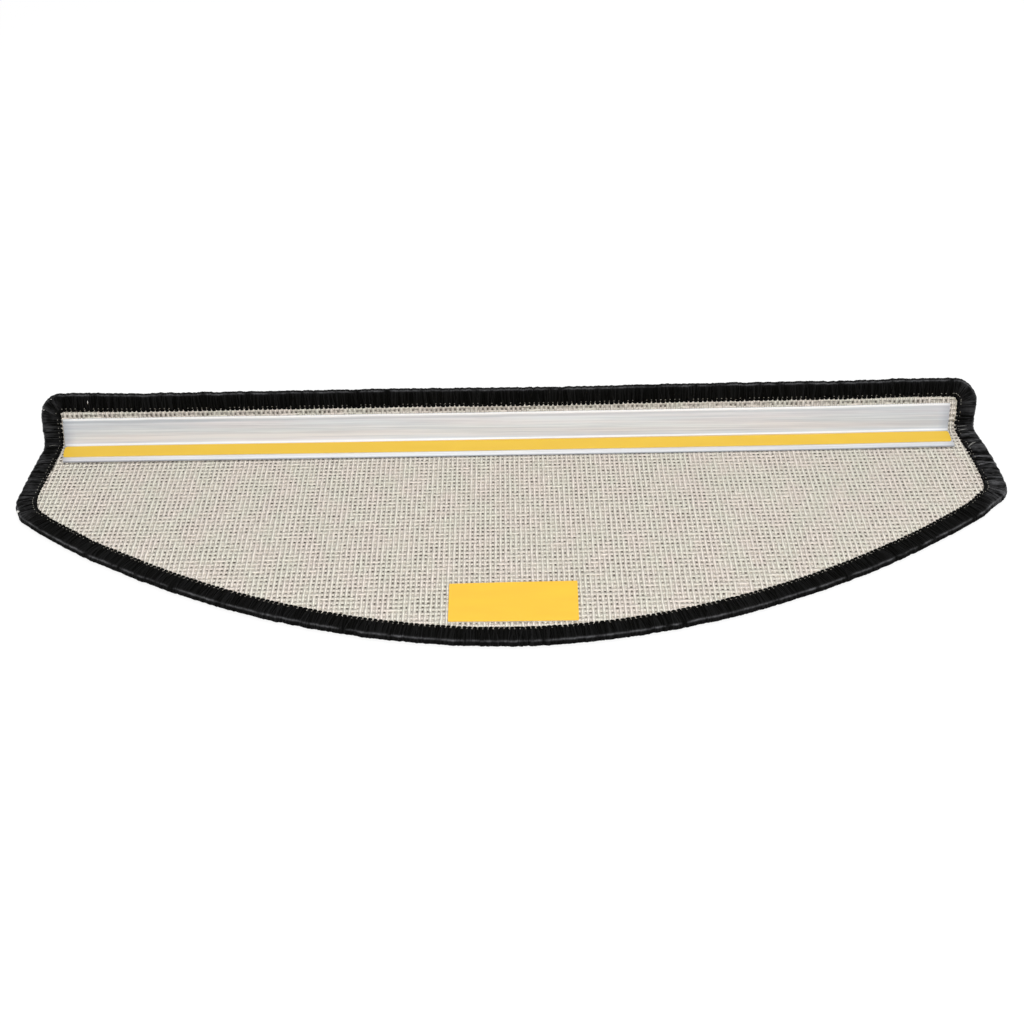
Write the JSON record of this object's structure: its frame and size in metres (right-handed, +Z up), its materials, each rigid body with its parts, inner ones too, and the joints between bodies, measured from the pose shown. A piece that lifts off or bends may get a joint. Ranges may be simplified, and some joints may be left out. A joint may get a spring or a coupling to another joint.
{
  "type": "stair tread mat",
  "caption": "Curved carpet stair tread mat with a folded lip, an overlocked edge, a plastic angle in the fold and adhesive strips under release liners.",
  "frame": {"origin": "centre of the footprint's bounding box, on the surface that the pile lies on", "axes": "+X along the fold, +Y from the curved edge towards the lip, +Z up from the pile through the backing"},
  "size_m": [0.65, 0.2196, 0.0394],
  "materials": {
    "woven_backing": "coarse beige and grey woven carpet backing",
    "binding_yarn": "black overlocked yarn with a faint sheen",
    "clear_plastic": "milky extruded plastic with faint lengthwise streaks",
    "adhesive": "tacky off-white adhesive",
    "release_liner": "smooth yellow release liner"
  },
  "bodies": {
    "root": {"carpet_mat": "woven_backing", "edge_binding": "binding_yarn", "angle_profile": "clear_plastic", "tape_adhesive": "adhesive", "tape_release_liner": "release_liner", "patch_adhesive": "adhesive", "patch_release_liner": "release_liner"}
  },
  "joints": []
}
